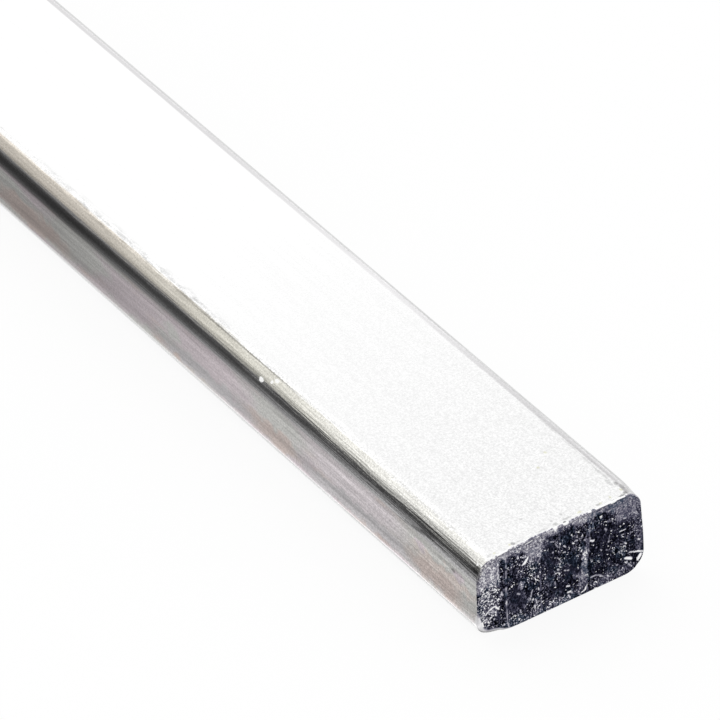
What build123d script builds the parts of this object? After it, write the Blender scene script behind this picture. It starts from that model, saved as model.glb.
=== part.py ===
from build123d import *
import os

# Cold-drawn steel flat bar, cropped square at both ends. Millimetres.
# +X runs along the bar and +Z is up. The origin is on the underside, below the middle of the bar.

# Stock
width = 12.7
thickness = 6.35
length = 304.8

# The corners of the section are rounded unevenly, as a worn die draws them.
front_top_radius = 2.0
back_top_radius = 1.2
back_bottom_radius = 1.5
front_bottom_radius = 1.4

# Cropped ends, in side view. The blade comes down on the top face: it rolls the top edge over,
# burnishes a land below it, and then the metal breaks away, which leaves a shallow hollow and a lip.
roll_over_radius = 0.2
land_height = 0.6
hollow_depth = 0.12
hollow_step = 0.1
lip_height = 0.3
lip_setback = 0.03
lip_radius = 0.12
blend_radius = 0.05

half_length = length / 2
lip_face = half_length - lip_setback
hollow_face = half_length - hollow_depth


def section_outline():
    """The rounded section, from the back bottom corner round to the front bottom one."""
    corners = (
        (width / 2, 0),
        (width / 2, thickness),
        (-width / 2, thickness),
        (-width / 2, 0),
    )
    radii = (back_bottom_radius, back_top_radius, front_top_radius, front_bottom_radius)
    FilletPolyline(*corners, radius=radii, close=True)


def side_outline():
    """The bar from the side. One half is drawn, from the underside round the cropped end to the top."""
    FilletPolyline(
        (0, 0),
        (lip_face, 0),
        (lip_face, lip_height),
        (hollow_face, lip_height + hollow_step),
        (hollow_face, thickness - land_height - hollow_step),
        (half_length, thickness - land_height),
        (half_length, thickness),
        (0, thickness),
        radius=(
            lip_radius,
            blend_radius,
            blend_radius,
            blend_radius,
            blend_radius,
            roll_over_radius,
        ),
    )
    mirror(about=Plane.YZ)


with BuildPart() as flat_bar:
    with BuildSketch(Plane.YZ.offset(-half_length)):
        with BuildLine():
            section_outline()
        make_face()
    extrude(amount=length)

    with BuildSketch(Plane.XZ):
        with BuildLine():
            side_outline()
        make_face()
    extrude(amount=width, both=True, mode=Mode.INTERSECT)

flat_bar.part.label = "flat_bar"

os.makedirs("parts", exist_ok=True)
export_step(flat_bar.part, "parts/flat_bar.step")
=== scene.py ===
"""The looks of a length of cold-drawn steel flat bar, cropped square at both ends.

The bar is one closed mesh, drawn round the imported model's box. Lengths in this script are millimetres and
become metres where a mesh, a lamp or the camera is made. +X runs along the bar to the near cropped end.
"""

import math

import bpy
import numpy as np
from mathutils import Matrix, Vector


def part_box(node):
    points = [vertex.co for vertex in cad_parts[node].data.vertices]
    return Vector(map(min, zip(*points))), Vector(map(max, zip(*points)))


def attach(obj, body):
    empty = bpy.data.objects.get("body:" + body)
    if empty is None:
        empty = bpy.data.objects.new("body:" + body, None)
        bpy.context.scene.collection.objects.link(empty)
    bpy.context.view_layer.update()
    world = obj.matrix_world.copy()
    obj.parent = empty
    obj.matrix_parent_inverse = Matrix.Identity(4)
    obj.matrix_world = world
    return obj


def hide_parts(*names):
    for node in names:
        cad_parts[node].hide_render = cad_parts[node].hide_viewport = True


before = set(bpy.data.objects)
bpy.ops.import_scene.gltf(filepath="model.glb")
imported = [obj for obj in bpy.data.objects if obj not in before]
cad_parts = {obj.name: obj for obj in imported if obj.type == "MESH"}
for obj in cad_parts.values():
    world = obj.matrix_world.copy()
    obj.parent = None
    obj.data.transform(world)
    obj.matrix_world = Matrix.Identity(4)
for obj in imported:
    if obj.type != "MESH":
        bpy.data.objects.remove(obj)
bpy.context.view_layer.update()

MM = 0.001
NODE = "flat_bar"

# ---- The section and the cropped ends, as in the CAD ----

box_low, box_high = (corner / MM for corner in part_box(NODE))
WIDTH = box_high.y - box_low.y
THICKNESS = box_high.z - box_low.z
HALF_LENGTH = (box_high.x - box_low.x) / 2

FRONT_BOTTOM_RADIUS = 1.4
BACK_BOTTOM_RADIUS = 1.5
BACK_TOP_RADIUS = 1.2
FRONT_TOP_RADIUS = 2.0

LAND_HEIGHT = 0.6
HOLLOW_DEPTH = 0.12
HOLLOW_STEP = 0.1
LIP_HEIGHT = 0.3
LIP_SETBACK = 0.03

# ---- The mesh ----

COLUMNS = 230  # grid cells across a cropped end
ROWS = 116  # and up it
RIM_STEPS = 4
STATIONS = (0.75, 0.9, 1.1, 1.35, 1.65, 2.0, 2.5, 3.2, 4.2, 5.6, 7.6, 10.6)  # back from an end
LONG_STATIONS = 24  # between the last of those and its like at the other end
NEAR_SEED = 11
FAR_SEED = 47
RIM_SEED = 5
BODY_SEED = 21


def new_object(name, data):
    """An object with this mesh, lamp or camera, linked into the scene."""
    thing = bpy.data.objects.new(name, data)
    bpy.context.scene.collection.objects.link(thing)
    return thing


def smooth(t):
    """An S-curve from 0 to 1."""
    t = np.clip(t, 0, 1)
    return t * t * (3 - 2 * t)


def between(value, low, high):
    """0 below low and 1 above high, with an S-curve from one to the other."""
    return smooth((value - low) / (high - low))


def value_noise(u, v, cell_u, cell_v, seed):
    """Smooth random heights from -1 to 1, one for each cell."""
    lattice = np.random.default_rng(seed).uniform(-1, 1, (256, 256))
    a, b = u / cell_u, v / cell_v
    i, j = np.floor(a).astype(int), np.floor(b).astype(int)
    s, t = smooth(a - i), smooth(b - j)

    def corner(di, dj):
        return lattice[(i + di) % 256, (j + dj) % 256]

    near = corner(0, 0) * (1 - s) + corner(1, 0) * s
    far = corner(0, 1) * (1 - s) + corner(1, 1) * s
    return near * (1 - t) + far * t


def layered_noise(u, v, layers, seed):
    """The sum of layers of noise: how much, the cell each way, and the layer's step from the seed."""
    return sum(much * value_noise(u, v, *cell, seed + step) for much, *cell, step in layers)


def follow(table, value):
    """The table's second column, read off by its first."""
    return np.interp(value, *zip(*table))


def section_side(start, end, start_radius, end_radius, count):
    """Points and outward normals along one side, from the middle of one rounded corner to the next."""
    start, end = np.array(start, float), np.array(end, float)
    along = (end - start) / np.linalg.norm(end - start)
    outward = np.array((along[1], -along[0]))
    flat = np.linalg.norm(end - start) - start_radius - end_radius
    first_arc, last_arc = start_radius * math.pi / 4, end_radius * math.pi / 4
    way = np.linspace(0, first_arc + flat + last_arc, count + 1)
    turn = np.minimum(way - first_arc, 0) / start_radius
    turn += np.maximum(way - first_arc - flat, 0) / end_radius
    normals = np.outer(np.cos(turn), outward) + np.outer(np.sin(turn), along)
    radius = np.where(turn < 0, start_radius, end_radius)
    inset = start_radius + np.clip(way - first_arc, 0, flat)
    points = start + np.outer(inset, along) + (normals - outward) * radius[:, None]
    return points, normals


def section():
    """The four sides of the section, each with its points and normals, round from the underside."""
    front, back, bottom, top = -WIDTH / 2, WIDTH / 2, 0, THICKNESS
    corners = ((front, bottom), (back, bottom), (back, top), (front, top))
    radii = (FRONT_BOTTOM_RADIUS, BACK_BOTTOM_RADIUS, BACK_TOP_RADIUS, FRONT_TOP_RADIUS)
    counts = (COLUMNS, ROWS, COLUMNS, ROWS)
    sides = []
    for k in range(4):
        after = (k + 1) % 4
        sides.append(section_side(corners[k], corners[after], radii[k], radii[after], counts[k]))
    return sides


def fill(ring):
    """The ring's inside as a grid of COLUMNS by ROWS cells, by a Coons patch."""
    closed = np.vstack((ring, ring[:1]))
    bottom = closed[: COLUMNS + 1]
    right = closed[COLUMNS : COLUMNS + ROWS + 1]
    top = closed[COLUMNS + ROWS : 2 * COLUMNS + ROWS + 1][::-1]
    left = closed[2 * COLUMNS + ROWS :][::-1]
    u = np.linspace(0, 1, COLUMNS + 1)[:, None, None]
    v = np.linspace(0, 1, ROWS + 1)[None, :, None]
    grid = (1 - v) * bottom[:, None] + v * top[:, None] + (1 - u) * left[None] + u * right[None]
    grid -= (1 - v) * ((1 - u) * bottom[0] + u * bottom[-1])
    grid -= v * ((1 - u) * top[0] + u * top[-1])
    return grid


def ring_cells():
    """The grid cell corners, column and row, that lie on the ring, in the ring's order."""
    bottom = [(i, 0) for i in range(COLUMNS)]
    right = [(COLUMNS, j) for j in range(ROWS)]
    top = [(i, ROWS) for i in range(COLUMNS, 0, -1)]
    left = [(0, j) for j in range(ROWS, 0, -1)]
    return np.array(bottom + right + top + left)


def end_setback(z):
    """How far the cropped end lies behind its land, at this height."""
    heights = (0, LIP_HEIGHT, LIP_HEIGHT + HOLLOW_STEP, THICKNESS - LAND_HEIGHT - HOLLOW_STEP)
    heights += (THICKNESS - LAND_HEIGHT, THICKNESS)
    depths = (LIP_SETBACK, LIP_SETBACK, HOLLOW_DEPTH, HOLLOW_DEPTH, 0, 0)
    return np.interp(z, heights, depths)


# The cropped ends, head on. Places are across the bar and up from the middle of the end, at the near end.
# Tones are logarithms of how much light the metal returns, and the contrast is how widely they are spread.
# The tones hold painted light: the dark core is a painted dark reflection over the torn metal's own
# dullness, and the paler band and patches are burnished metal made partly brighter by painted reflection.
CORE = (  # across, tone, contrast
    (-6.4, -3.4, 1.4),
    (-4.2, -3.5, 1.35),
    (-3.4, -3.75, 1.25),
    (-2.2, -3.55, 1.35),
    (-1.2, -3.75, 1.1),
    (1.2, -3.8, 1.1),
    (2.6, -4.25, 1.05),
    (6.4, -4.05, 1.05),
)
BAND_EDGE = (  # the lower edge of the paler metal below the top edge, from the front side to the back
    (-6.4, 0.6), (-4.8, 0.4), (-4.5, 2.3), (-2.7, 2.2), (-2.2, 1.2), (-1.4, 1.3), (-1, 2.7), (0.9, 2.8),
    (1.2, 2.3), (2.3, 2.2), (2.9, 2.6), (4, 2.3), (4.7, 1.2), (6.4, 0.9),
)
BAND_TONE = ((-6.4, -1.05), (-4.6, -1.12), (-4.3, -1.1), (2.3, -1.15), (2.8, -1.72), (6.4, -1.77))
BAND_CONTRAST = 0.5
PATCHES = (  # across, up, half-width, half-height, tone, contrast
    (-5.5, -0.7, 0.95, 1.5, -1.95, 1.5),
    (2.15, 0.6, 0.16, 1, -2.2, 0.7),
    (1.95, -0.6, 0.2, 0.9, -1.4, 0.7),
    (1.75, -2, 0.38, 1.1, -1.95, 0.7),
    (-2.9, -0.25, 0.26, 0.24, -0.9, 0.5),
    (-5.2, -1.2, 0.45, 0.22, -0.8, 0.6),
    (-1.2, -2.9, 3, 0.35, -2.8, 1.2),
    (4, -2.85, 1.6, 0.4, -2.9, 1.1),
    (6.1, 0.2, 0.3, 2.2, -2.5, 0.9),
    (-3.2, -1.4, 0.7, 0.9, -3, 0.8),
    (-0.9, 2, 0.35, 0.5, -2.6, 0.8),
    (-0.65, 0.7, 0.4, 1.2, -3.8, 0.55),
    (-3.35, -0.9, 0.45, 0.75, -3.6, 0.5),
    (0.9, -0.6, 0.5, 0.6, -3.7, 0.5),
)
STREAKED = (1.8, 0.5, 0.3)  # where the blade streaked most: its middle, its half-width, the share elsewhere
# A score with shine has it as a painted glint; a score without shine is a groove darkened with painted
# shade.
SCORES = (  # across at the top and at the bottom, from and to what height, half-width, depth, shine
    (-4.05, -4.08, 3, 0.3, 0.045, 0.02, 0.5),
    (-4.09, -4.09, 0.3, -1.3, 0.05, 0.02, 0.85),
    (-4.09, -4.06, -1.3, -3.1, 0.04, 0.02, 0.6),
    (-4.36, -4.34, 2.3, -2.6, 0.12, 0.08, 0),
    (-4.66, -4.62, 2, 0.4, 0.06, 0.02, 0.7),
    (-3.86, -3.86, 2.4, -1, 0.1, 0.03, 0),
    (-1.5, -1.48, 1, -3, 0.04, 0.03, 0.2),
    (2.4, 2.34, 2.9, 1.2, 0.05, 0.02, 0.65),
    (2.34, 2.2, 1.2, 0, 0.045, 0.02, 0.3),
    (2.2, 2, 0, -3, 0.045, 0.03, 0.2),
    (2.5, 2.44, 3, 1.2, 0.05, 0.06, 0),
    (2.44, 2.3, 1.2, -0.5, 0.07, 0.07, 0),
    (2.3, 2.16, -0.5, -3, 0.07, 0.07, 0),
    (2.64, 2.6, 2.7, 1.5, 0.045, 0.02, 0.6),
)
# Each stroke is a torn sliver that stands a little proud of the end; its shine is a painted glint.
STROKES = (  # from and to, half-width, shine
    (-2.74, 1.28, -2.45, 1.58, 0.13, 1),
    (-2.45, 1.58, -2.4, 1.75, 0.07, 1),
    (-2.6, 2.92, -2.1, 3, 0.07, 0.85),
    (-2.85, 2.6, -2.4, 2.05, 0.055, 0.6),
    (-4.55, 2.6, -4.45, 2.45, 0.07, 0.9),
    (-5.45, 2.65, -5.1, 2.25, 0.05, 0.7),
    (-0.3, 1.78, -0.04, 1.33, 0.04, 0.5),
    (-0.65, 2.1, -0.35, 1.95, 0.05, 0.5),
    (-0.17, 0.6, 0.15, 0.1, 0.035, 0.6),
    (0.3, -0.68, 0.65, -0.86, 0.05, 0.75),
    (0.55, -0.15, 0.75, -0.5, 0.03, 0.3),
    (0.36, 1.26, 0.46, 1.14, 0.05, 0.85),
    (0.35, 0.8, 0.42, 0.74, 0.07, 0.8),
    (1.3, 1.3, 1.38, 1.24, 0.06, 0.7),
    (2.4, 0.68, 2.6, 0.62, 0.1, 0.9),
    (2.33, 0.98, 2.38, 0.9, 0.05, 0.6),
    (4.62, 0.36, 5.1, 0.36, 0.05, 0.9),
    (4.75, 0.05, 4.95, -0.04, 0.05, 0.55),
    (5.42, -0.04, 5.6, -0.12, 0.05, 0.5),
    (3.08, -0.36, 3.22, -0.5, 0.04, 0.6),
    (4.95, -0.7, 5.1, -0.82, 0.05, 0.7),
    (5.96, -0.8, 6.05, -0.88, 0.06, 0.8),
    (5.33, -1.65, 5.7, -1.75, 0.05, 0.95),
    (5.7, -1.75, 6.3, -1.86, 0.07, 1),
    (5.05, -1.98, 5.4, -2.15, 0.13, 1),
    (5.92, -2.4, 6.12, -2.05, 0.11, 1),
    (2.35, -2.2, 2.9, -2.28, 0.06, 0.5),
    (2.9, -2.28, 3.3, -2.6, 0.06, 0.5),
    (3.3, -2.6, 3.62, -3, 0.055, 0.4),
    (1.5, -2.95, 1.8, -2.9, 0.07, 0.95),
    (1.8, -2.9, 2.08, -2.65, 0.06, 0.9),
    (0.5, -2.02, 0.68, -2.08, 0.08, 0.9),
    (0.5, -2.55, 0.75, -2.52, 0.08, 0.9),
    (-0.2, -0.36, -0.05, -0.45, 0.06, 0.7),
    (-2, -2.35, -2, -2.55, 0.08, 0.7),
    (-2.1, -1.1, -2.3, -1.55, 0.05, 0.6),
    (-1.9, -1.85, -1.8, -2.2, 0.06, 0.6),
    (-3.1, -2.2, -3, -2.4, 0.06, 0.5),
    (-4.72, 1.6, -4.65, 1.1, 0.08, 0.7),
    (-4.8, -1.2, -4.65, -1.38, 0.07, 0.8),
    (-5.6, -1.2, -5.3, -1.3, 0.05, 0.6),
    (-6.02, -1.7, -5.93, -2.3, 0.06, 1),
    (-5.95, 0.47, -5.8, 0.5, 0.08, 1),
    (-5.6, 0.5, -5.45, 0.46, 0.07, 1),
    (-6.05, 0.04, -5.9, -0.02, 0.07, 0.9),
    (-5.85, -0.2, -5.65, -0.17, 0.07, 0.85),
    (-5.5, -0.02, -5.38, -0.08, 0.06, 0.8),
    (-5.15, 0.38, -5, 0.36, 0.08, 0.9),
    (-4.98, 0.15, -4.85, 0.2, 0.07, 0.8),
    (-6.07, -0.4, -5.95, -0.36, 0.06, 0.7),
    (-5.3, -0.4, -5.15, -0.42, 0.08, 0.9),
    (-5.76, -1.27, -5.4, -1.1, 0.07, 0.95),
    (-5.4, -1.1, -5, -0.98, 0.09, 1),
    (-5, -0.98, -4.7, -1.27, 0.08, 1),
    (-6.12, -1.69, -5.66, -1.67, 0.07, 1),
    (3.9, 0.5, 3.76, 0, 0.035, 0.3),
    (3.55, -0.6, 3.8, -0.72, 0.03, 0.35),
    (3.8, -0.72, 3.95, -0.5, 0.03, 0.35),
)
# Flecks: short torn slivers, each with a painted glint
FLECKS = 45
FLECK_FIELD = (6.2, 3.05)  # how far across and up from the middle they are strewn
FLECK_REACH = 0.12
FLECK_LEAST = 0.01
FLECK_WIDTH = 0.05
FLECK_HEIGHT = 0.012
FLECK_TILT = -52  # degrees, the way that the torn metal is drawn
FLECK_TILT_SPREAD = 30

# Unevenness of the cropped metal, as layers for layered_noise
RAGGED = ((0.16, 0.5, 0.5, 0), (0.1, 0.18, 0.18, 1))
CLUMPS = ((1, 0.7, 0.9, 2),)
STREAKS = ((1, 0.14, 1.9, 4),)
HOLLOWS = ((0.02, 1.6, 1.3, 5), (0.01, 0.7, 0.6, 6))
PITS = ((0.008, 0.24, 0.28, 7), (0.006, 0.12, 0.13, 8))
SCORE_BREAKS = ((0.75, 1.0, 0.22, 9),)
BEND_ACROSS = ((0.045, 0.17, 0.17, 10),)
BEND_UP = ((0.045, 0.17, 0.17, 11),)
SHADED_COLUMNS = ((0.55, 0.35, 5, 12),)

CLUMP_TONE = 0.3
CLUMP_CONTRAST = 0.45
STREAK_TONE = 0.6
STREAK_DEPTH = 0.008
BAND_RAGGED = 1.3  # how much more ragged than the patches the band's edge is
BAND_BLUR = 0.35
BAND_PITTED = 0.4  # how deep its pits are, beside those of the rest
PATCH_BLUR = 0.3
TORN_DEPTH = 0.05
# painted shade in the grooves of the dull scores
GROOVE_PAINTED_SHADE = 1.6
SCORE_SWELL = 0.3  # how far a shiny score stands up, for what it is sunk where it is dull
SCORE_WHOLE = 0.6
STROKE_HEIGHT = 0.02
STROKE_CORE = 0.85  # of a stroke's half-width
STROKE_EDGE = (0.7 / 2.4, 1.7 / 2.4)  # what near_line gives where a stroke begins and where it is full
# a painted shade round each stroke, standing in for the shadow that its burr casts
HALO_PAINTED_SHADE = 0.9
HALO_WIDTH = 2

BURR = 0.95  # the painted highlight on the burr along the top edge
BURR_HEIGHT = 0.03
BURR_FADE = 0.06  # how far back the torn metal reaches where no burr is left
HANG_REACH = 5.2  # how far to either side burrs hang over the end
HANG_BLUR = 0.04

RIM_RADIUS = 0.05
TOP_RIM = 0.09  # the rim's radius along the top edge
RIM_WAVE = 0.01
NEAR_EDGE_WAVE = 0.035
FAR_EDGE_WAVE = 0.08
HOLLOW_FADE = 1.2  # how far in from a narrow side the end's hollow reaches its depth
RELIEF_FADE = 4  # how many cells in from the rim the torn relief does
# Round the near end, from the middle of its top down over the front: how far back along the bar the torn
# metal reaches. It is less than 0 where a burr hangs over the end instead.
CUT_EDGE = (
    (-6.3, 0), (-5.6, 0.06), (-5.05, 0.06), (-4.95, 0), (-4.35, 0.01), (-4.2, -0.15), (-3.95, -0.13),
    (-3.85, 0), (-2.75, 0.02), (-2.55, 0.15), (-2.4, 0.02), (-1.95, 0.02), (-1.8, 0.12), (-0.75, 0.1),
    (-0.6, -0.12), (-0.35, -0.1), (-0.2, 0.04), (0.2, 0.02), (0.3, -0.24), (0.42, -0.2), (0.52, 0.1),
    (1.3, 0.1), (1.4, 0.15), (2.1, 0.15), (2.5, 0.02), (3.9, 0.06), (4.05, -0.03), (4.4, 0.02),
    (4.6, -0.06), (4.85, 0.03), (5.05, -0.03), (5.4, 0.12), (5.85, 0.26), (6.8, 0.28), (7.2, 0.16),
    (10.4, 0.18), (12, 0.05),
)
# Where the near end's rim is broken off, at its front bottom corner
CHIPS = (  # across, up, reach, how far in
    (-5.25, -3.15, 0.95, 0.5),
    (-6.3, -2.1, 0.9, 0.28),
)
# the painted highlight on the broken rim
CHIP_SHINE = 0.75
CHIP_SHINE_FROM = 0.15  # how far in
# Where the section is squeezed in at a cropped end
DRAWN_IN = (  # across, up, reach, depth
    (6, 2.6, 0.9, 0.12),
    (6.35, 1.4, 1.3, 0.1),
    (-4.6, 3.175, 0.8, 0.05),
)
DRAWN_IN_LENGTH = 1.1
LINE_HEIGHT = 0.0015  # of the fine lines that the die leaves along the bar
SIDE_SHADE = (  # up from the middle of a narrow side, and how bright the steel is painted there: painted reflection bands
    (-1.9, 1.02), (-1.55, 1), (-1.25, 0.9), (-0.95, 0.79), (-0.6, 0.9), (-0.2, 0.98), (0.5, 1),
    (0.66, 1.12), (0.82, 1.08), (0.98, 0.9), (1.3, 1),
)
FOOT_GLEAM = 0.45  # how much brighter the rounded foot of a narrow side is painted: a painted reflection of the floor
LINE_SHADE = 0.06
LINES_LOST_ON_TOP = 0.75

# Unevenness of the rim and of the drawn faces, as layers for layered_noise
RIM_WAVES = ((1, 0.5, 5, 0), (0.7, 0.16, 5, 1))
DIE_LINES = ((1, 40, 0.42, 0), (0.5, 25, 0.17, 1), (0.35, 12, 0.09, 2))
SHADE_WANDER = ((0.12, 14, 60, 3),)
SHADED_LINES = ((1, 15, 0.13, 4), (0.6, 8, 0.3, 5))

PLAIN_VALUES = {"tone": 0, "contrast": 0, "shine": 0, "shade": 1, "girth": 0}


def near_line(y, h, y0, h0, y1, h1, width):
    """1 on this line from one place to the other, and falling off beside it."""
    dy, dh = y1 - y0, h1 - h0
    t = np.clip(((y - y0) * dy + (h - h0) * dh) / (dy * dy + dh * dh), 0, 1)
    return np.exp(-((y - y0 - t * dy) ** 2 + (h - h0 - t * dh) ** 2) / width**2)


def metal_tones(y, h, seed):
    """Tone and contrast of the cropped metal, and how far each place is in the band below the top edge."""
    ragged = layered_noise(y, h, RAGGED, seed)
    clumps = layered_noise(y, h, CLUMPS, seed)
    core_y, core_tone, core_contrast = zip(*CORE)
    tone = np.interp(y, core_y, core_tone) + CLUMP_TONE * clumps + layered_noise(y, h, SHADED_COLUMNS, seed)
    contrast = np.interp(y, core_y, core_contrast) * (1 + CLUMP_CONTRAST * clumps)
    in_band = between(h - follow(BAND_EDGE, y) + BAND_RAGGED * ragged, -BAND_BLUR, BAND_BLUR)
    tone += in_band * (follow(BAND_TONE, y) - tone)
    contrast += in_band * (BAND_CONTRAST - contrast)
    for at_y, at_h, half_y, half_h, patch_tone, patch_contrast in PATCHES:
        reach = np.hypot((y - at_y + ragged) / half_y, (h - at_h + ragged) / half_h)
        share = between(1 - reach, -PATCH_BLUR, PATCH_BLUR)
        tone += share * (patch_tone - tone)
        contrast += share * (patch_contrast - contrast)
    return tone, contrast, in_band


def add_named_marks(y, h, seed, tone, shine, depth):
    """Works the burrs, scores and strokes of the near end into these arrays, with their painted highlights
    and painted shade.
    """
    hang = -follow(CUT_EDGE, -y) * (np.abs(y) < HANG_REACH)
    below_rim = THICKNESS / 2 - TOP_RIM - h
    hung = between(hang - below_rim, -HANG_BLUR, HANG_BLUR) * (hang > 0)
    depth -= BURR_HEIGHT * hung
    # painted highlight on the burrs that hang over the end
    np.maximum(shine, BURR * hung, out=shine)
    whole = np.clip(SCORE_WHOLE + layered_noise(y, h, SCORE_BREAKS, seed), 0, 1)
    for top_y, bottom_y, top_h, bottom_h, width, sunk, gleam in SCORES:
        on = whole * near_line(y, h, top_y, top_h, bottom_y, bottom_h, width)
        if gleam:
            depth -= SCORE_SWELL * sunk * on
            np.maximum(shine, gleam * on, out=shine)
        else:
            depth += sunk * on
            tone -= GROOVE_PAINTED_SHADE * on
    bent_y = y + layered_noise(y, h, BEND_ACROSS, seed)
    bent_h = h + layered_noise(y, h, BEND_UP, seed)
    for *line, width, gleam in STROKES:
        on = between(near_line(bent_y, bent_h, *line, STROKE_CORE * width), *STROKE_EDGE)
        depth -= STROKE_HEIGHT * on
        tone -= HALO_PAINTED_SHADE * near_line(bent_y, bent_h, *line, HALO_WIDTH * width)
        np.maximum(shine, gleam * on, out=shine)


def add_flecks(y, h, seed, shine, depth):
    """Works short random flecks into these arrays: each is a painted glint on a tiny raised sliver."""
    rng = np.random.default_rng(seed)
    half_y, half_h = FLECK_FIELD
    for _ in range(FLECKS):
        at_y, at_h = rng.uniform(-half_y, half_y), rng.uniform(-half_h, half_h)
        tilt = math.radians(rng.normal(FLECK_TILT, FLECK_TILT_SPREAD))
        reach = FLECK_REACH * rng.random() ** 2 + FLECK_LEAST
        gleam = rng.random()
        dy, dh = reach * math.cos(tilt), reach * math.sin(tilt)
        near = np.abs(y - at_y) < FLECK_REACH + 4 * FLECK_WIDTH
        on = near_line(y[near], h[near], at_y - dy, at_h - dh, at_y + dy, at_h + dh, FLECK_WIDTH)
        depth[near] -= FLECK_HEIGHT * on
        shine[near] = np.maximum(shine[near], gleam * on)


def torn_metal(y, h, seed, named_marks):
    """Tone, contrast, shine and depth of the cropped metal."""
    tone, contrast, in_band = metal_tones(y, h, seed)
    middle, half_width, elsewhere = STREAKED
    streaked = elsewhere + (1 - elsewhere) * np.exp(-(((y - middle) / half_width) ** 2))
    streaks = streaked * layered_noise(y, h, STREAKS, seed)
    tone += STREAK_TONE * streaks
    pits = layered_noise(y, h, PITS, seed) * (1 - (1 - BAND_PITTED) * in_band)
    depth = TORN_DEPTH + layered_noise(y, h, HOLLOWS, seed) - STREAK_DEPTH * streaks + pits
    shine = np.zeros_like(y)
    if named_marks:
        add_named_marks(y, h, seed, tone, shine, depth)
    add_flecks(y, h, seed, shine, depth)
    return tone, contrast, shine, depth


def bumps(y, h, places):
    """The sum of rounded bumps, each given by its place, reach and height."""
    return sum(height * np.exp(-(((y - at_y) ** 2 + (h - at_h) ** 2) / reach**2))
               for at_y, at_h, reach, height in places)


class Ring:
    """The section as one ring of points, with what holds for each of them all along the bar."""

    def __init__(self):
        sides = section()
        self.points = np.vstack([points[:-1] for points, _ in sides])
        self.normals = np.vstack([normals[:-1] for _, normals in sides])
        self.count = len(self.points)
        self.across = self.points[:, 0]
        self.heights = self.points[:, 1] - THICKNESS / 2
        steps = np.linalg.norm(np.diff(self.points, axis=0), axis=1)
        self.way = np.concatenate(((0,), np.cumsum(steps)))
        perimeter = self.way[-1] + np.linalg.norm(self.points[-1] - self.points[0])
        self.seam = smooth(np.minimum(self.way, perimeter - self.way))
        top_middle = self.way[COLUMNS + ROWS] + BACK_TOP_RADIUS * math.pi / 4 + WIDTH / 2 - BACK_TOP_RADIUS
        self.girth = (self.way - top_middle + perimeter / 2) % perimeter - perimeter / 2
        self.chipped = bumps(self.across, self.heights, CHIPS)
        self.wavy = layered_noise(self.across, self.heights, RIM_WAVES, RIM_SEED)
        sideways, upwards = np.abs(self.normals[:, 0]), self.normals[:, 1]
        self.on_top = between(upwards, 0.35, 0.85)
        self.on_side = between(sideways, 0.85, 0.97)
        self.on_foot = between(-upwards, 0.15, 0.45) * between(sideways, 0.5, 0.8)

    def shade(self, x):
        """How bright the drawn steel is painted at the section's points this far along: painted reflection
        bands on the narrow sides, a painted gleam on their feet, and fine lines; 1 where none of these is.
        """
        along = np.full(self.count, x)
        wander = self.heights + layered_noise(along, self.way, SHADE_WANDER, BODY_SEED)
        shade = 1 + self.on_side * (follow(SIDE_SHADE, wander) - 1) + FOOT_GLEAM * self.on_foot
        lines = self.seam * layered_noise(along, self.way, SHADED_LINES, BODY_SEED)
        return shade * (1 + LINE_SHADE * lines * (1 - LINES_LOST_ON_TOP * self.on_top))

    def at(self, x):
        """The section's points this far along, with the die's lines and what the cropping squeezed in."""
        fading = math.exp(-(((HALF_LENGTH - abs(x)) / DRAWN_IN_LENGTH) ** 2))
        squeeze = fading * bumps(self.across, self.heights, DRAWN_IN)
        lines = 2 + layered_noise(np.full(self.count, x), self.way, DIE_LINES, BODY_SEED)
        return self.points - self.normals * (squeeze + LINE_HEIGHT * self.seam * lines)[:, None]


class Surface:
    """The bar's vertices, and the values that they carry to its materials."""

    def __init__(self):
        self.size = 0
        self.places = []
        self.values = {name: [] for name in PLAIN_VALUES}

    def keep(self, x, place, **values):
        """Adds one vertex for each x, and returns the vertices' numbers."""
        numbers = self.size + np.arange(len(x))
        self.size += len(x)
        self.places.append(np.column_stack((x, place)))
        for name, plain in PLAIN_VALUES.items():
            self.values[name].append(np.broadcast_to(values.get(name, plain), len(x)))
        return numbers


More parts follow.
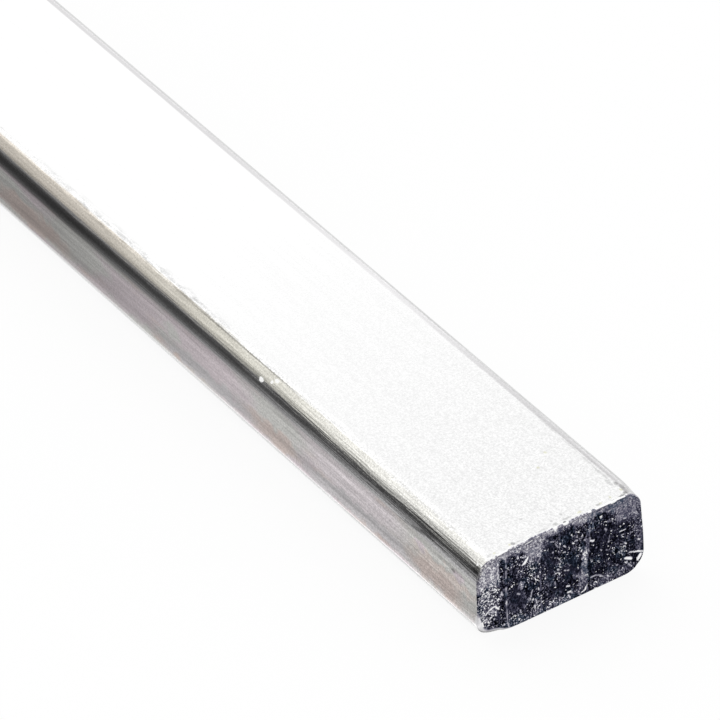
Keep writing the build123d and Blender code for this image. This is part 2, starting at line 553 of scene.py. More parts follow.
def build_end(surface, ring, sign, seed):
    """One cropped end: its grid's faces, and the rings from the grid's edge round the rim to the section."""
    near = sign > 0
    rim = RIM_RADIUS + ring.on_top * (TOP_RIM - RIM_RADIUS + RIM_WAVE * ring.wavy)
    edge = FAR_EDGE_WAVE * ring.wavy * ring.on_top
    broken = 0
    if near:
        rim += ring.chipped
        edge = np.interp(ring.girth, *zip(*CUT_EDGE), 0, 0) + NEAR_EDGE_WAVE * ring.wavy
        broken = CHIP_SHINE * between(ring.chipped, 0, CHIP_SHINE_FROM)

    outline = ring.at(sign * HALF_LENGTH)
    grid = fill(outline - ring.normals * rim[:, None])
    y, z = grid[..., 0].ravel(), grid[..., 1].ravel()
    tone, contrast, shine, depth = torn_metal(y, z - THICKNESS / 2, seed, near)
    column, row = np.divmod(np.arange(len(y)), ROWS + 1)
    to_edge = np.minimum.reduce((column, COLUMNS - column, row, ROWS - row))
    hollow = end_setback(z) * between(WIDTH / 2 - np.abs(y), 0, HOLLOW_FADE)
    sunk = hollow + depth * between(to_edge, 0, RELIEF_FADE)
    numbers = surface.keep(sign * (HALF_LENGTH - sunk), np.column_stack((y, z)),
                           tone=tone, contrast=contrast, shine=shine)
    index = numbers.reshape(COLUMNS + 1, ROWS + 1)
    corners = (index[:-1, :-1], index[1:, :-1], index[1:, 1:], index[:-1, 1:])
    faces = np.stack(corners if near else corners[::-1], -1).reshape(-1, 4)

    rings = [index[tuple(ring_cells().T)]]
    on_edge = rings[0] - numbers[0]
    # painted highlights: on the burr along the top rim, and on the broken rim
    burr = BURR * ring.on_top * smooth(1 - edge / BURR_FADE)
    values = {"tone": tone[on_edge], "contrast": contrast[on_edge],
              "shade": ring.shade(sign * HALF_LENGTH), "girth": ring.girth}
    for k in range(1, RIM_STEPS + 1):
        angle = math.pi / 2 * (1 - k / RIM_STEPS)
        inset = rim * (1 - math.cos(angle))
        back = sunk[on_edge] + (rim + np.maximum(edge, 0)) * (1 - math.sin(angle))
        gleam = np.maximum(burr, broken) if k < RIM_STEPS else 0
        place = outline - ring.normals * inset[:, None]
        rings.append(surface.keep(sign * (HALF_LENGTH - back), place, shine=gleam, **values))
    return faces, rings


def build_bar():
    """The bar as one closed mesh: a grid over each end, and rings from rim to rim."""
    ring, surface = Ring(), Surface()
    near_faces, near_rings = build_end(surface, ring, 1, NEAR_SEED)
    far_faces, far_rings = build_end(surface, ring, -1, FAR_SEED)
    stations = [HALF_LENGTH - s for s in STATIONS]
    middle = np.linspace(stations[-1], -stations[-1], LONG_STATIONS + 2)[1:-1]
    body = [surface.keep(np.full(ring.count, x), ring.at(x), shade=ring.shade(x), girth=ring.girth)
            for x in (*stations, *middle, *[-s for s in reversed(stations)])]
    rings = [*near_rings, *body, *reversed(far_rings)]
    strips = [np.stack((one, two, np.roll(two, -1), np.roll(one, -1)), -1)
              for one, two in zip(rings, rings[1:])]
    torn_strips = RIM_STEPS - 1
    torn = np.vstack((near_faces, far_faces, *strips[:torn_strips], *strips[-torn_strips:]))
    faces = np.vstack((torn, *strips[torn_strips:-torn_strips]))

    mesh = bpy.data.meshes.new("flat_bar_surface")
    mesh.from_pydata(np.vstack(surface.places) * MM, [], faces.tolist())
    for name, values in surface.values.items():
        mesh.attributes.new(name, "FLOAT", "POINT").data.foreach_set("value", np.concatenate(values))
    mesh.materials.append(drawn_steel())
    mesh.materials.append(cropped_steel())
    is_torn = np.arange(len(faces)) < len(torn)
    mesh.polygons.foreach_set("material_index", is_torn.astype(np.int32))
    mesh.shade_smooth()
    return new_object("flat_bar_surface", mesh)


# ---- Materials ----


def new_material(name):
    """A new material and its empty node tree."""
    material = bpy.data.materials.new(name)
    material.use_nodes = True
    tree = material.node_tree
    tree.nodes.clear()
    return material, tree


def add(tree, kind, inputs=None, **settings):
    """A shader node with these settings, its inputs linked to sockets or set to values."""
    node = tree.nodes.new("ShaderNode" + kind)
    for name, value in settings.items():
        setattr(node, name, value)
    for name, value in (inputs or {}).items():
        if isinstance(value, bpy.types.NodeSocket):
            tree.links.new(value, node.inputs[name])
        else:
            node.inputs[name].default_value = value
    return node


def carried(tree, name):
    """One of the values that the bar's vertices carry."""
    return add(tree, "Attribute", attribute_name=name).outputs["Fac"]


def calculated(tree, operation, *values):
    """The result of one Math node."""
    return add(tree, "Math", dict(enumerate(values)), operation=operation).outputs[0]


def combined(tree, operation, *values):
    """The values taken together: their sum, their product or the largest of them."""
    total, *others = values
    for value in others:
        total = calculated(tree, operation, total, value)
    return total


def vectors(tree, operation, *values):
    """The result of one Vector Math node, for places and colours."""
    return add(tree, "VectorMath", dict(enumerate(values)), operation=operation).outputs[0]


def scaled(tree, vector, factor):
    """The place or colour, times this number."""
    return add(tree, "VectorMath", {0: vector, "Scale": factor}, operation="SCALE").outputs[0]


def ramp(tree, value, low, high, to_low=0.0, to_high=1.0, **settings):
    """value mapped from one range to another, held at its ends."""
    ranges = {"From Min": low, "From Max": high, "To Min": to_low, "To Max": to_high}
    return add(tree, "MapRange", {"Value": value, **ranges}, **settings).outputs[0]


def window(tree, value, begins, full, fades, ends):
    """1 where the value is from full to fades, and 0 before begins and after ends."""
    return combined(tree, "MULTIPLY", ramp(tree, value, begins, full), ramp(tree, value, ends, fades))


def varied(tree, noise, least, most):
    """The noise, spread from one value to another."""
    return ramp(tree, noise, 0.3, 0.7, least, most)


def grain(tree, place, cell, stretch=(1, 1, 1), turn=0.0, detail=0.0, shift=0.0, bend=0.0):
    """Noise with cells of this many millimetres, drawn out along an axis by its stretch."""
    turned = {"Vector": place, "Location": (shift, shift, shift), "Rotation": (turn, 0, 0), "Scale": stretch}
    turned = add(tree, "Mapping", turned, vector_type="TEXTURE").outputs[0]
    noise = {"Vector": turned, "Scale": 1 / (cell * MM), "Detail": detail, "Distortion": bend}
    return add(tree, "TexNoise", noise).outputs[0]


def mixed_value(tree, share, one, two):
    """One value where the share is 0, and the other where it is 1."""
    return add(tree, "Mix", {0: share, 2: one, 3: two}, data_type="FLOAT").outputs[0]


def mixed_colour(tree, share, one, two):
    """One colour where the share is 0, and the other where it is 1."""
    return add(tree, "Mix", {0: share, 6: one, 7: two}, data_type="RGBA").outputs[2]


# Marks on the drawn steel of the near end. Each begins with its place: back from the end, and round the bar
# from the middle of the top, down over the front. Then come its half-length and its half-width.
DUST = (
    (24.68, 6.3, 0.24, 0.16),
    (23.75, 5.97, 0.12, 0.1),
    (23.45, 5.7, 0.22, 0.14),
    (0.63, 6.05, 0.1, 0.08),
    (0.35, 5.95, 0.1, 0.06),
)
MARKS = (  # and how bright the steel is there: small stains by the end, and along the front top corner and side the painted shade and glints of scratches and streaks
    (1.4, 6.98, 1.1, 0.05, 0.55),
    (3, 6.97, 0.7, 0.045, 0.65),
    (4.3, 6.86, 0.9, 0.05, 0.6),
    (5.6, 6.85, 0.8, 0.11, 0.4),
    (6.6, 7, 0.7, 0.08, 0.4),
    (7.4, 7.1, 0.9, 0.06, 0.5),
    (8.2, 7.22, 0.7, 0.05, 0.7),
    (2.65, 7.73, 0.22, 0.14, 0.45),
    (0.5, 6.3, 0.3, 0.3, 0.55),
    (9.7, 8.25, 0.12, 0.09, 0.7),
    (0.7, 8.7, 0.4, 0.05, 0.75),
    (0.9, 9.2, 0.2, 0.06, 0.75),
    (11, 9.62, 3.2, 0.09, 0.86),
    (15.5, 9.7, 3.6, 0.1, 0.88),
    (3, 9.02, 3.4, 0.1, 0.89),
    (11, 9.12, 4, 0.07, 0.94),
    (24.4, 5.46, 3, 0.05, 0.5),
    (29, 5.5, 3.4, 0.07, 0.6),
    (33, 5.48, 3, 0.1, 0.7),
    (5, 7.64, 4, 0.07, 0.9),
    (11, 8.04, 7, 0.1, 1.07),
    (10, 8.3, 7, 0.08, 0.94),
    (6.5, 9.26, 7, 0.1, 1.11),
    (14, 9.3, 6, 0.1, 1.07),
    (12, 9.98, 5.5, 0.12, 1.13),
    (31, 8.25, 5, 0.12, 1.08),
    (30, 10.05, 9, 0.16, 0.92),
    (3.5, 10.15, 4.5, 0.22, 0.92),
    (0.32, 3.37, 0.15, 0.13, 0.5),
    (0.29, 3, 0.1, 0.13, 0.75),
    (0.3, 1.1, 0.09, 0.45, 0.82),
    (0.3, 0.15, 0.15, 0.16, 0.68),
    (0.7, 0.2, 0.1, 0.1, 0.78),
    (0.4, 5.15, 0.12, 0.16, 0.78),
    (2, 1.6, 0.1, 0.1, 0.78),
    (0.37, -0.78, 0.09, 0.35, 0.72),
    (0.9, -0.67, 0.12, 0.1, 0.78),
    (0.12, -0.44, 0.09, 0.11, 0.3),
    (0.29, -3.1, 0.1, 0.17, 0.7),
    (0.04, -4.14, 0.09, 0.1, 0.4),
    (0.15, -4.85, 0.09, 0.22, 0.45),
    (0.3, -5.2, 0.13, 0.16, 0.5),
    (0.6, -5.45, 0.3, 0.25, 0.78),
    (1.37, -5.25, 0.16, 0.12, 0.62),
    (1.7, -4.95, 0.35, 0.12, 0.78),
    (0.95, -5.45, 0.25, 0.18, 0.74),
    (2.8, -5.1, 0.8, 0.08, 0.8),
    (4.3, -5.16, 0.7, 0.08, 0.82),
    (6.2, -5.2, 0.9, 0.07, 0.84),
    (8.6, -5.22, 1, 0.07, 0.86),
)
OLIVE = (0.545, 0.548, 0.52, 1)
LILAC = (0.575, 0.515, 0.535, 1)
BROWN = (0.57, 0.487, 0.447, 1)
GREY = (0.545, 0.53, 0.535, 1)
PALE_LILAC = (0.66, 0.615, 0.628, 1)
PALE_BROWN = (0.64, 0.57, 0.525, 1)
STAINS = (
    (3, 8.3, 6.8, 1.8, OLIVE),
    (13.8, 8.3, 5.5, 1.15, PALE_LILAC),
    (13.5, 9.9, 6.5, 0.6, GREY),
    (22.5, 8, 3.4, 1.1, OLIVE),
    (23.2, 9.8, 2.9, 0.75, BROWN),
    (31.5, 8.3, 5.6, 1.2, LILAC),
    (31, 9.9, 5.5, 0.5, GREY),
    (34.8, 8.6, 0.9, 0.6, OLIVE),
    (40.5, 9.2, 3.4, 1, LILAC),
    (46.5, 8.3, 3.8, 1.4, OLIVE),
    (52, 9.5, 4.2, 0.9, BROWN),
    (2.1, 7.95, 0.5, 0.3, LILAC),
    (4.7, 9.5, 2.9, 0.95, BROWN),
    (3.8, 8.5, 3.4, 0.4, PALE_BROWN),
    (6.2, 8.1, 0.5, 0.3, LILAC),
)
TAN = (0.53, 0.53, 0.44, 1)
TOP_STAINS = (
    (0.36, 3.6, 0.1, 0.09, TAN),
    (0.32, 4.8, 0.07, 0.1, TAN),
    (0.38, -1.75, 0.1, 0.16, TAN),
    (0.45, -4.14, 0.15, 0.06, TAN),
    (0.7, -5.15, 0.12, 0.1, TAN),
    (0.3, -3.3, 0.06, 0.12, TAN),
    (6.6, -3.53, 0.13, 0.1, TAN),
    (5.6, -2.27, 0.11, 0.09, TAN),
)
STEEL = (0.6, 0.6, 0.6, 1)
PAINTED_HIGHLIGHT_STEEL = (0.93, 0.93, 0.92, 1)
DUST_WHITE = (0.96, 0.96, 0.95, 1)

# Noise on the drawn steel: the cell, how much longer it is along the bar, its detail and its shift
LINE_GRAIN = (0.1, 30, 1, 0)
STREAK_GRAIN = (0.16, 22, 1, 0.31)
SPECKLE_GRAIN = (0.12, 1, 1, 0.55)
STAIN_GRAIN = (1.5, 5, 2, 0.77)
WARM_GRAIN = (1.3, 5, 2, 0.13)
DARK_PATCH_GRAIN = (0.22, 5, 3, 0.9)

# How far a face looks to the side or up, from where it isn't one of these to where it is
NARROW_SIDE = (0.985, 1.0)
TOP = (0.86, 0.97)
TOP_FLAT = (0.9, 0.98)

# Round the bar or along it: where something begins, is full, starts to fade and ends
CORNER_WAY = (5.0, 5.6, 7.0, 7.6)
# Where the front top corner is darker, in patches, along a stretch of the bar
DARKER_CORNER_WAY = (4.8, 5.35, 5.5, 5.7)
DARKER_CORNER_STATIONS = (27, 33, 46, 56)
DARKER_CORNER_LEVEL = 0.72

SPECKLED_ENDS = (38, 4)  # back from an end: where the dull speckle starts and where it is full
CALM_STATIONS = (5, 35)  # where the lines start to be calmer and where they are calmest
CALMEST = 0.45
RELIEF_ENDS = (45, 12)
RELIEF_FAR_SHARE = 0.35
RELIEF_OFF_CORNER_SHARE = 0.25
RELIEF_DEPTH = 0.015
DRAWN_ROUGHNESS = (0.1, 0.15)


def blurred_place(tree, unrolled, cell, reach):
    """The unrolled place, wandering by up to this many millimetres from one cell to the next."""
    noise = add(tree, "TexNoise", {"Vector": unrolled, "Scale": 1 / cell, "Detail": 1.0})
    wander = scaled(tree, vectors(tree, "SUBTRACT", noise.outputs["Color"], (0.5, 0.5, 0.5)), 3 * reach)
    return vectors(tree, "ADD", unrolled, wander)


def mark(tree, unrolled, station, way, half_length, half_width, inside=1.0, outside=0.0, edge=0.4):
    """One value inside this ellipse of the unrolled bar and another outside it, with a soft edge."""
    scale = (1 / half_length, 1 / half_width, 0)
    shift = (-station / half_length, -way / half_width, 0)
    offset = vectors(tree, "MULTIPLY_ADD", unrolled, scale, shift)
    out = add(tree, "VectorMath", {0: offset}, operation="LENGTH").outputs["Value"]
    return ramp(tree, out, 1 - edge, 1 + edge, inside, outside, interpolation_type="SMOOTHSTEP", clamp=False)


class DrawnPlace:
    """The sockets that tell the drawn steel's nodes where they are, and its shared noise."""

    def __init__(self, tree):
        self.tree = tree
        self.place = add(tree, "TexCoord").outputs["Object"]
        x = add(tree, "SeparateXYZ", {0: self.place}).outputs["X"]
        normal = add(tree, "NewGeometry").outputs["Normal"]
        normal = add(tree, "SeparateXYZ", {0: normal})
        self.along = calculated(tree, "ABSOLUTE", x)
        self.sideways = calculated(tree, "ABSOLUTE", normal.outputs["Y"])
        self.upwards = normal.outputs["Z"]
        self.station = ramp(tree, x, HALF_LENGTH * MM, -HALF_LENGTH * MM, 0, 2 * HALF_LENGTH)
        self.way = carried(tree, "girth")
        unrolled = add(tree, "CombineXYZ", {0: self.station, 1: self.way}).outputs[0]
        self.ragged = blurred_place(tree, unrolled, 0.12, 0.05)
        self.patchy = blurred_place(tree, unrolled, 0.9, 0.5)
        self.lines = self.grain(LINE_GRAIN)
        self.streaks = self.grain(STREAK_GRAIN)
        self.speckle = self.grain(SPECKLE_GRAIN)

    def grain(self, values):
        """Noise drawn out along the bar."""
        cell, length, detail, shift = values
        return grain(self.tree, self.place, cell, (length, 1, 1), detail=detail, shift=shift)

    def by_ends(self, begins, full, least=0.0):
        """1 from full to the nearer end, and the least from begins to the middle."""
        return ramp(self.tree, self.along, (HALF_LENGTH - begins) * MM, (HALF_LENGTH - full) * MM, least)


def drawn_tint(tree, at):
    """The colour of the drawn steel: almost plain on the broad faces, and stained on the narrow sides."""
    tint = mixed_colour(tree, ramp(tree, at.grain(STAIN_GRAIN), 0.42, 0.58), OLIVE, LILAC)
    tint = mixed_colour(tree, ramp(tree, at.grain(WARM_GRAIN), 0.54, 0.64), tint, BROWN)
    for *patch, colour in STAINS:
        tint = mixed_colour(tree, mark(tree, at.patchy, *patch), tint, colour)
    broad = STEEL
    for *patch, colour in TOP_STAINS:
        broad = mixed_colour(tree, mark(tree, at.ragged, *patch), broad, colour)
    return mixed_colour(tree, ramp(tree, at.sideways, *NARROW_SIDE), broad, tint)


def drawn_level(tree, at):
    """How bright the drawn steel is, by its lines and speckle, its painted reflection bands, darker patches
    on the front top corner, and the marks with their stains and painted shade and glints.
    """
    dulled = combined(tree, "MULTIPLY", ramp(tree, at.speckle, 0.7, 0.3, -0.02, 0.2),
                      at.by_ends(*SPECKLED_ENDS), ramp(tree, at.upwards, *TOP_FLAT))
    level = calculated(tree, "SUBTRACT", 1.0, dulled)
    calm = calculated(tree, "MAXIMUM", ramp(tree, at.upwards, *TOP),
                      ramp(tree, at.station, *CALM_STATIONS, 0, CALMEST))
    for noise, least, most in ((at.lines, 0.88, 1.12), (at.streaks, 0.9, 1.1), (at.speckle, 0.76, 1.24)):
        uneven = mixed_value(tree, calm, varied(tree, noise, least, most), 1.0)
        level = calculated(tree, "MULTIPLY", level, uneven)
    darker_patches = combined(tree, "MULTIPLY", ramp(tree, at.grain(DARK_PATCH_GRAIN), 0.47, 0.62),
                      window(tree, at.way, *DARKER_CORNER_WAY), window(tree, at.station, *DARKER_CORNER_STATIONS))
    level = combined(tree, "MULTIPLY", level, carried(tree, "shade"),
                     ramp(tree, darker_patches, 0, 1, 1, DARKER_CORNER_LEVEL))
    stains_and_painted_light = 1.0
    for stroke in MARKS:
        stains_and_painted_light = calculated(tree, "MULTIPLY", stains_and_painted_light, mark(tree, at.ragged, *stroke, outside=1.0))
    return calculated(tree, "MULTIPLY", level, stains_and_painted_light)


def drawn_relief(tree, at):
    """The lines and the speckle as relief, deepest near the ends and on the front top corner."""
    relief = combined(tree, "ADD", at.lines, calculated(tree, "MULTIPLY", at.streaks, 0.6),
                      calculated(tree, "MULTIPLY", at.speckle, 0.4))
    on_corner = window(tree, at.way, *CORNER_WAY)
    depth = calculated(tree, "MULTIPLY", at.by_ends(*RELIEF_ENDS, RELIEF_FAR_SHARE),
                       ramp(tree, on_corner, 0, 1, RELIEF_OFF_CORNER_SHARE))
    bump = add(tree, "Bump", {"Height": relief, "Strength": depth, "Distance": RELIEF_DEPTH * MM})
    return bump.outputs[0]


def drawn_steel():
    """The long faces: fine lines along the bar, faint stains on the sides, and fine speckle by the ends."""
    material, tree = new_material("drawn_steel")
    at = DrawnPlace(tree)
    colour = scaled(tree, drawn_tint(tree, at), drawn_level(tree, at))
    # painted highlight where the rim carries shine: the burr and the broken corner
    colour = mixed_colour(tree, carried(tree, "shine"), colour, PAINTED_HIGHLIGHT_STEEL)
    dust = combined(tree, "MAXIMUM", *[mark(tree, at.ragged, *speck, edge=0.25) for speck in DUST])
    colour = mixed_colour(tree, dust, colour, DUST_WHITE)
    shader = add(tree, "BsdfPrincipled", {"Base Color": colour,
                                          "Metallic": calculated(tree, "SUBTRACT", 1.0, dust),
                                          "Roughness": varied(tree, at.streaks, *DRAWN_ROUGHNESS),
                                          "Normal": drawn_relief(tree, at)})
    add(tree, "OutputMaterial", {"Surface": shader.outputs["BSDF"]})
    return material


TORN_GRAINS = (  # cell, stretch, shift, and how far the noise spreads the tone either way
    (0.16, (1, 1, 1), 0, 1.5),
    (0.088, (1, 1, 1), 0.4, 3),
    (0.07, (1, 1, 5), 0.6, 1),
    (0.45, (1, 1, 1.5), 0.2, 1.1),
)
# Specks: small painted glints on the torn metal
SPECK_CELL = 0.12
SPECK_LENGTH = 2.0  # times its width
SPECK_TILTS = (-52, -10, 75)
SPECK_LEVELS = (0.73, 0.79)  # of the noise, from where a speck begins to where it is bright
SPECK_LOSS = 0.09  # off that noise where the contrast is least
BRIGHTEST = 0.95  # of the torn metal between the specks
TORN_TINTS = (  # the square root of the brightness, and the tint there
    (0, (0.84, 0.9, 1.7)),
    (0.2, (0.93, 0.94, 1.52)),
    (0.5, (1, 0.965, 1.15)),
    (0.9, (1, 1, 1)),
)
TINT_SCALE = 1.7  # the largest number in the tints, which they are divided by in the colour ramp
COLD = (0.72, 1.0, 1.0)
COLD_SHARE = 0.8
TORN_SHEEN = (0.1, 0.1, 0.1, 1)
TORN_ROUGHNESS = (0.55, 0.35)  # where it is dark and where it is bright


def bright_specks(tree, place, contrast):
    """1 on small bright specks, which are painted glints, and which are fewer where the contrast is low."""
    stretch = (1, SPECK_LENGTH, 1)
    noises = [grain(tree, place, SPECK_CELL, stretch, math.radians(tilt), shift=0.1 * k, bend=0.6)
              for k, tilt in enumerate(SPECK_TILTS)]
    noise = combined(tree, "MAXIMUM", *noises)
    noise = calculated(tree, "ADD", noise, ramp(tree, contrast, 0.5, 1.8, -SPECK_LOSS, 0.0))
    return ramp(tree, noise, *SPECK_LEVELS)


def torn_tint(tree, place, level):
    """The tint of the torn metal, bluer where it is dark, and colder in patches."""
    tints = add(tree, "ValToRGB", {"Fac": calculated(tree, "POWER", level, 0.5)})
    elements = tints.color_ramp.elements
    while len(elements) < len(TORN_TINTS):
        elements.new(0.5)
    for element, (position, colour) in zip(elements, TORN_TINTS):
        element.position = position
        element.color = (*[c / TINT_SCALE for c in colour], 1)
    patches = ramp(tree, grain(tree, place, 0.9, detail=1, shift=0.35), 0.52, 0.62, 0, COLD_SHARE)
    patches = calculated(tree, "MULTIPLY", patches, ramp(tree, level, 0.08, 0.25, 1, 0))
    return mixed_colour(tree, patches, tints.outputs[0], vectors(tree, "MULTIPLY", tints.outputs[0], COLD))


def cropped_steel():
    """The cropped ends: dark torn metal, paler where the blade rubbed it, with bright flecks. The darkness
    is partly a painted dark reflection, and the flecks are painted glints.
    """
    material, tree = new_material("cropped_steel")
    place = add(tree, "TexCoord").outputs["Object"]
    contrast = carried(tree, "contrast")
    noises = [ramp(tree, grain(tree, place, cell, stretch, shift=shift), 0, 1, -most, most)
              for cell, stretch, shift, most in TORN_GRAINS]
    spread = combined(tree, "ADD", *noises)
    returned = calculated(tree, "MULTIPLY_ADD", contrast, spread, carried(tree, "tone"))
    level = calculated(tree, "MINIMUM", calculated(tree, "EXPONENT", returned), BRIGHTEST)
    level = combined(tree, "MAXIMUM", level, carried(tree, "shine"), bright_specks(tree, place, contrast))
    colour = scaled(tree, torn_tint(tree, place, level), calculated(tree, "MULTIPLY", level, TINT_SCALE))
    shader = add(tree, "BsdfPrincipled", {"Base Color": colour, "Metallic": 1.0, "Specular Tint": TORN_SHEEN,
                                          "Roughness": ramp(tree, level, 0.0, 0.6, *TORN_ROUGHNESS)})
    add(tree, "OutputMaterial", {"Surface": shader.outputs["BSDF"]})
    return material


# ---- The studio ----

FLOOR_SIZE = 12000
FLOOR_PAINT = (0.95, 0.95, 0.95, 1)
WHITE = (1, 1, 1, 1)
DIFFUSE_WORLD = 0.85
SHADOW_SHARE = 0.1  # how much of the floor's whiteness is lit, and so keeps the bar's shadow

SOFTBOX_DIRECTION = (-0.67, 0.19, 0.717)  # from the middle of the bar
SOFTBOX_DISTANCE = 1500
SOFTBOX_SIZE = 2400
SOFTBOX_RADIANCE = 0.68

# What the bar's long edges mirror: a low cove along each side, from the floor up. Each row is an angle up
# from the horizon, as the bar's top edge sees it, and the cove's brightness there at COVE_STATIONS back from
# the near end. Past the photograph's edge it holds to COVE_HELD_TO, and from COVE_PLAIN_FROM on it is the
# same as at the near end.
COVE_GAP = 34
COVE_EYE = 5
COVE_LOWEST = 0.2
COVE_REACH = 400
COVE_STATIONS = (3, 8, 27, 48)
COVE_HELD_TO = 75
COVE_PLAIN_FROM = 120
FRONT_COVE = (
    (-87, 1.75, 1.70, 1.60, 1.00),
    (-83, 1.05, 1.10, 1.05, 0.70),
    (-80, 0.86, 0.90, 0.90, 0.57),
    (-77, 0.80, 0.82, 0.80, 0.48),
    (-73, 0.79, 0.79, 0.81, 0.47),
    (-67, 0.80, 0.81, 0.82, 0.47),
    (-60, 0.75, 0.74, 0.75, 0.45),
    (-52, 0.77, 0.77, 0.68, 0.22),
    (-45, 0.78, 0.74, 0.50, 0.13),
    (-37, 0.74, 0.65, 0.35, 0.085),
    (-28, 0.44, 0.42, 0.23, 0.06),
    (-17, 0.41, 0.30, 0.13, 0.045),
    (-8, 0.08, 0.09, 0.08, 0.05),
    (3, 0.05, 0.07, 0.09, 0.09),
    (9, 0.06, 0.09, 0.20, 0.22),
    (12, 0.09, 0.14, 0.38, 0.34),
    (17, 0.38, 0.66, 0.48, 0.48),
    (28, 0.50, 0.88, 0.85, 0.74),
    (31, 0.62, 1.10, 1.06, 0.82),
    (37, 1.26, 1.52, 1.12, 0.86),
    (48, 1.42, 1.60, 1.14, 0.90),
    (52, 1.42, 1.62, 1.06, 0.94),
    (54, 1.42, 1.62, 1.04, 1.00),
    (60, 1.45, 1.64, 1.25, 1.40),
    (64, 1.50, 1.66, 1.55, 1.60),
)
FRONT_WARMTH = ((1.0, 0.99, 0.94), (1.0, 0.99, 0.945), (1.0, 0.975, 0.87), (1.0, 0.925, 0.82))
BACK_COVE = (
    (0, 1.25, 1.10, 1.35, 1.30),
    (15, 1.30, 1.15, 1.42, 1.25),
    (27, 1.08, 1.15, 1.45, 1.20),
    (38, 1.12, 1.15, 1.50, 1.20),
    (46, 1.45, 1.45, 1.60, 1.45),
)
COVE_COOL = (1.0, 0.99, 1.0)
WARM_FROM = 15  # degrees

MIRROR_LEAN = 0.904  # how far along the bar a mirrored line of sight runs for each unit across it


def seen_white(tree):
    """1 for the rays that see the background itself, and 0 for those that light things."""
    path = add(tree, "LightPath")
    kinds = ("Is Camera Ray", "Is Glossy Ray", "Is Transmission Ray")
    return combined(tree, "MAXIMUM", *[path.outputs[kind] for kind in kinds])


def make_world():
    """A plain pale world, which is white where it is seen."""
    world = bpy.data.worlds.new("studio")
    bpy.context.scene.world = world
    world.use_nodes = True
    tree = world.node_tree
    tree.nodes.clear()
    lit = add(tree, "Background", {"Color": WHITE, "Strength": DIFFUSE_WORLD})
    white = add(tree, "Background", {"Color": WHITE, "Strength": 1.0})
    mix = add(tree, "MixShader", {0: seen_white(tree), 1: lit.outputs[0], 2: white.outputs[0]})
    add(tree, "OutputWorld", {"Surface": mix.outputs[0]})


def make_floor():
    """A white floor, which keeps a little of the bar's shadow."""
    material, tree = new_material("white_floor")
    paint = add(tree, "BsdfDiffuse", {"Color": FLOOR_PAINT})
    glow = add(tree, "Emission", {"Color": WHITE, "Strength": 1.0})
    shown = add(tree, "MixShader", {0: 1 - SHADOW_SHARE, 1: paint.outputs[0], 2: glow.outputs[0]})
    mix = add(tree, "MixShader", {0: seen_white(tree), 1: paint.outputs[0], 2: shown.outputs[0]})
    add(tree, "OutputMaterial", {"Surface": mix.outputs[0]})
    half = FLOOR_SIZE / 2 * MM
    corners = [(-half, -half, 0), (half, -half, 0), (half, half, 0), (-half, half, 0)]
    mesh = bpy.data.meshes.new("floor")
    mesh.from_pydata(corners, [], [(0, 1, 2, 3)])
    mesh.materials.append(material)
    card = new_object("floor", mesh)


def reflected_only(cove):
    """The cove shows in metal, and neither shades nor lights anything else."""
    for kind in ("camera", "diffuse", "shadow", "transmission", "volume_scatter"):
        setattr(cove, "visible_" + kind, False)


def along_cove(values):
    """The values at COVE_STATIONS, spread to all the columns of a cove."""
    return (values[0], *values, values[-1], values[0], values[0])


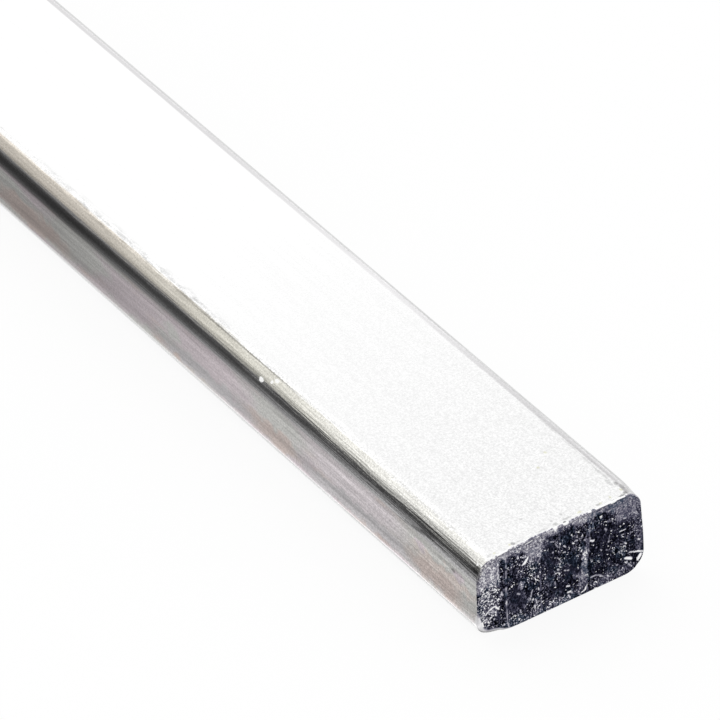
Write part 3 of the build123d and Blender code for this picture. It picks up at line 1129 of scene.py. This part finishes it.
def make_cove(name, side, rows, warmth):
    """The curved card along one side of the bar, whose brightness is set at its points."""
    points, glow = [], []
    for angle, *levels in rows:
        slope = math.tan(math.radians(angle))
        gap = min(COVE_GAP, COVE_EYE / -slope) if slope < 0 else COVE_GAP
        height = max(COVE_EYE + gap * slope, COVE_LOWEST)
        lean = MIRROR_LEAN * math.hypot(gap, height - COVE_EYE)
        stations = [HALF_LENGTH - s - lean for s in (*COVE_STATIONS, COVE_HELD_TO, COVE_PLAIN_FROM)]
        tints = warmth if angle > WARM_FROM else [COVE_COOL] * len(COVE_STATIONS)
        places = (COVE_REACH, *stations, -COVE_REACH)
        for x, level, tint in zip(places, along_cove(levels), along_cove(tints)):
            points.append((x * MM, side * (WIDTH / 2 + gap) * MM, height * MM))
            glow.append([level * t for t in tint] + [1])
    columns = len(along_cove(COVE_STATIONS))
    faces = [(r * columns + c, r * columns + c + 1, (r + 1) * columns + c + 1, (r + 1) * columns + c)
             for r in range(len(rows) - 1) for c in range(columns - 1)]
    mesh = bpy.data.meshes.new(name)
    mesh.from_pydata(points, [], faces)
    colours = mesh.color_attributes.new("glow", "FLOAT_COLOR", "POINT")
    colours.data.foreach_set("color", np.ravel(glow))
    material, tree = new_material(name)
    shown = add(tree, "Attribute", attribute_name="glow").outputs["Color"]
    light = add(tree, "Emission", {"Color": shown})
    add(tree, "OutputMaterial", {"Surface": light.outputs[0]})
    mesh.materials.append(material)
    cove = new_object(name, mesh)
    reflected_only(cove)


def make_softbox():
    """The one lamp: a large soft square, high beyond the bar's far end, which faces its middle."""
    lamp = bpy.data.lights.new("top_softbox", "AREA")
    lamp.shape = "SQUARE"
    lamp.size = SOFTBOX_SIZE * MM
    lamp.energy = SOFTBOX_RADIANCE * math.pi * lamp.size**2
    box = new_object("top_softbox", lamp)
    direction = Vector(SOFTBOX_DIRECTION).normalized()
    box.location = direction * SOFTBOX_DISTANCE * MM
    box.rotation_euler = direction.to_track_quat("Z", "Y").to_euler()
    box.visible_camera = False


# ---- The camera ----

AZIMUTH = 57.518
ELEVATION = 37.337
ROLL = -2.811
LENS = 378.99
SENSOR = 36.0
AIM = (-25.0997, 1.826, THICKNESS / 2)  # from the foot of the near end's middle
DISTANCE = 491.457


def make_camera():
    """The photograph's camera, fitted to the outline of the near end and to the bar's long edges."""
    camera = bpy.data.cameras.new("camera")
    camera.lens, camera.sensor_width = LENS, SENSOR
    camera.clip_start, camera.clip_end = 0.01, 100
    eye = new_object("camera", camera)
    azimuth, elevation = math.radians(AZIMUTH), math.radians(ELEVATION)
    back = Vector((math.sin(azimuth) * math.cos(elevation), -math.cos(azimuth) * math.cos(elevation),
                   math.sin(elevation)))
    aim = Vector(AIM) + Vector((HALF_LENGTH, 0, 0))
    turn = back.to_track_quat("Z", "Y").to_matrix().to_4x4()
    place = Matrix.Translation((aim + back * DISTANCE) * MM)
    eye.matrix_world = place @ turn @ Matrix.Rotation(math.radians(ROLL), 4, "Z")
    bpy.context.scene.camera = eye


# ---- The scene ----

make_camera()
make_world()
make_floor()
make_cove("front_cove", -1, FRONT_COVE, FRONT_WARMTH)
make_cove("back_cove", 1, BACK_COVE, [COVE_COOL] * len(COVE_STATIONS))
make_softbox()

bar = build_bar()
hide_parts(NODE)
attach(bar, "root")

scene = bpy.context.scene
scene.view_settings.view_transform = "Standard"
